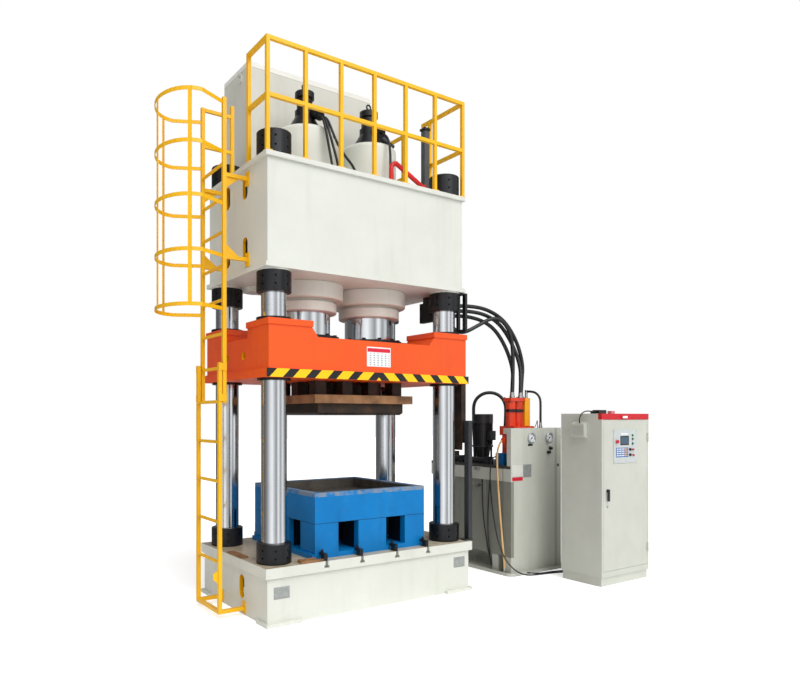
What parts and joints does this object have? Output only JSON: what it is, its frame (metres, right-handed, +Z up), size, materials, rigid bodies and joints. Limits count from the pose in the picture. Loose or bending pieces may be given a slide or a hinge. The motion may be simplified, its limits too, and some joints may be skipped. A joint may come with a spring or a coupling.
{
  "type": "hydraulic press",
  "caption": "Four-column hydraulic press with orange slide, twin rams, dies, caged ladder, railed crown, power pack and control cabinet.",
  "frame": {"origin": "on the floor at the centre of the press bed", "axes": "+X to the right along the front, +Y to the back, +Z up"},
  "size_m": [4.86, 2.279, 5.124],
  "materials": {
    "cream_paint": "gloss enamel",
    "orange_paint": "gloss enamel",
    "yellow_paint": "gloss enamel",
    "blue_paint": "gloss enamel, scuffed",
    "grey_paint": "powder coat",
    "red_paint": "gloss enamel",
    "black_oxide": "oiled black oxide",
    "hard_chrome": "ground and chromed",
    "chrome_fittings": "zinc plated",
    "ground_steel": "ground, oiled",
    "rusty_steel": "rusted plate",
    "dark_steel": "oily scale",
    "cream_iron": "enamel on machined iron",
    "white_plate": "printed plate, blank",
    "black_plastic": "moulded",
    "red_plastic": "moulded",
    "panel_plastic": "membrane panel",
    "dial_face": "gauge case and dial",
    "needle_black": "matt",
    "hose_rubber": "wrapped hose",
    "tan_hose": "clear braided hose, yellowed",
    "cable_rubber": "sheathed cable"
  },
  "bodies": {
    "press_frame": {"bed": "cream_paint", "columns": "hard_chrome", "column_nuts": "black_oxide", "crown": "cream_paint", "cylinders": "cream_iron", "cylinder_rings": "cream_iron", "prefill_valves": "black_oxide", "filling_tank": "cream_paint", "bypass_pipe": "red_paint", "railings": "yellow_paint", "ladder_upper": "yellow_paint", "ladder_lower": "yellow_paint", "ladder_cage": "yellow_paint", "die_base": "blue_paint", "die_block": "blue_paint", "die_liner": "ground_steel", "die_clamps": "black_oxide", "side_fittings": "black_oxide", "pack_base": "grey_paint", "oil_tank": "grey_paint", "gauge_panel": "grey_paint", "pressure_gauges": "dial_face", "pump_motor": "black_oxide", "valve_block": "red_paint", "hose_fittings": "chrome_fittings", "filter_cover": "blue_paint", "cabinet": "grey_paint", "main_hose_1": "hose_rubber", "main_hose_2": "hose_rubber", "main_hose_3": "hose_rubber", "main_hose_4": "hose_rubber", "pump_hose": "hose_rubber", "return_hose": "hose_rubber", "drain_hose": "tan_hose", "valve_hoses": "hose_rubber", "pack_cables": "cable_rubber", "cabinet_cable": "cable_rubber"},
    "press_slide": {"slide": "orange_paint", "guide_bushes": "black_oxide", "rams": "hard_chrome", "ram_flanges": "black_oxide", "slide_plate": "white_plate", "trip_channel": "rusty_steel", "upper_die_plate": "rusty_steel", "upper_die_core": "dark_steel", "die_spacers": "dark_steel"},
    "door": {"cabinet_door": "grey_paint", "control_panel": "panel_plastic"},
    "gauge_needle_left_body": {"gauge_needle_left": "needle_black"},
    "gauge_needle_right_body": {"gauge_needle_right": "needle_black"},
    "panel_knob_upper_body": {"panel_knob_upper": "black_plastic"},
    "panel_knob_lower_body": {"panel_knob_lower": "black_plastic"},
    "valve_lever_upper_body": {"valve_lever_upper": "chrome_fittings"},
    "valve_lever_lower_body": {"valve_lever_lower": "chrome_fittings"},
    "emergency_stop_body": {"emergency_stop": "red_plastic"},
    "start_button_body": {"start_button": "red_plastic"},
    "stop_button_body": {"stop_button": "red_plastic"},
    "mode_selector_body": {"mode_selector": "black_plastic"},
    "speed_selector_body": {"speed_selector": "black_plastic"},
    "door_handle_body": {"door_handle": "black_plastic"}
  },
  "joints": [
    {"name": "slide_travel", "type": "slide", "parent": "press_frame", "child": "press_slide", "axis": [0, 0, 1], "range_m": [-0.7, 0.15]},
    {"name": "door_swing", "type": "hinge", "parent": "press_frame", "child": "door", "pos_m": [3.0375, -1.359, 0.9], "axis": [0, 0, 1], "range_deg": [0, 115]},
    {"name": "handle_turn", "type": "hinge", "parent": "door", "child": "door_handle_body", "pos_m": [2.352, -1.35, 0.96], "axis": [0, 1, 0], "range_deg": [0, 90]},
    {"name": "emergency_stop_press", "type": "slide", "parent": "door", "child": "emergency_stop_body", "axis": [0, 1, 0], "range_m": [0, 0.006], "stiffness_N_per_m": 800},
    {"name": "start_press", "type": "slide", "parent": "door", "child": "start_button_body", "axis": [0, 1, 0], "range_m": [0, 0.004], "stiffness_N_per_m": 600},
    {"name": "stop_press", "type": "slide", "parent": "door", "child": "stop_button_body", "axis": [0, 1, 0], "range_m": [0, 0.004], "stiffness_N_per_m": 600},
    {"name": "mode_turn", "type": "hinge", "parent": "door", "child": "mode_selector_body", "pos_m": [2.718, -1.35, 1.368], "axis": [0, 1, 0], "range_deg": [-45, 45]},
    {"name": "speed_turn", "type": "hinge", "parent": "door", "child": "speed_selector_body", "pos_m": [2.72, -1.35, 1.312], "axis": [0, 1, 0], "range_deg": [-45, 45]},
    {"name": "needle_left_turn", "type": "hinge", "parent": "press_frame", "child": "gauge_needle_left_body", "pos_m": [2.198, -0.527, 1.471], "axis": [0, 1, 0], "range_deg": [0, 270], "stiffness_Nm_per_rad": 0.02},
    {"name": "needle_right_turn", "type": "hinge", "parent": "press_frame", "child": "gauge_needle_right_body", "pos_m": [2.49, -0.527, 1.471], "axis": [0, 1, 0], "range_deg": [0, 270], "stiffness_Nm_per_rad": 0.02},
    {"name": "knob_upper_turn", "type": "hinge", "parent": "press_frame", "child": "panel_knob_upper_body", "pos_m": [2.512, -0.51, 1.352], "axis": [0, 1, 0], "range_deg": [-135, 135]},
    {"name": "knob_lower_turn", "type": "hinge", "parent": "press_frame", "child": "panel_knob_lower_body", "pos_m": [2.478, -0.51, 1.308], "axis": [0, 1, 0], "range_deg": [-135, 135]},
    {"name": "lever_upper_turn", "type": "hinge", "parent": "press_frame", "child": "valve_lever_upper_body", "pos_m": [1.853, -0.04, 1.138], "axis": [0, 0, 1], "range_deg": [-90, 0]},
    {"name": "lever_lower_turn", "type": "hinge", "parent": "press_frame", "child": "valve_lever_lower_body", "pos_m": [1.853, -0.04, 0.953], "axis": [0, 0, 1], "range_deg": [-90, 0]}
  ]
}
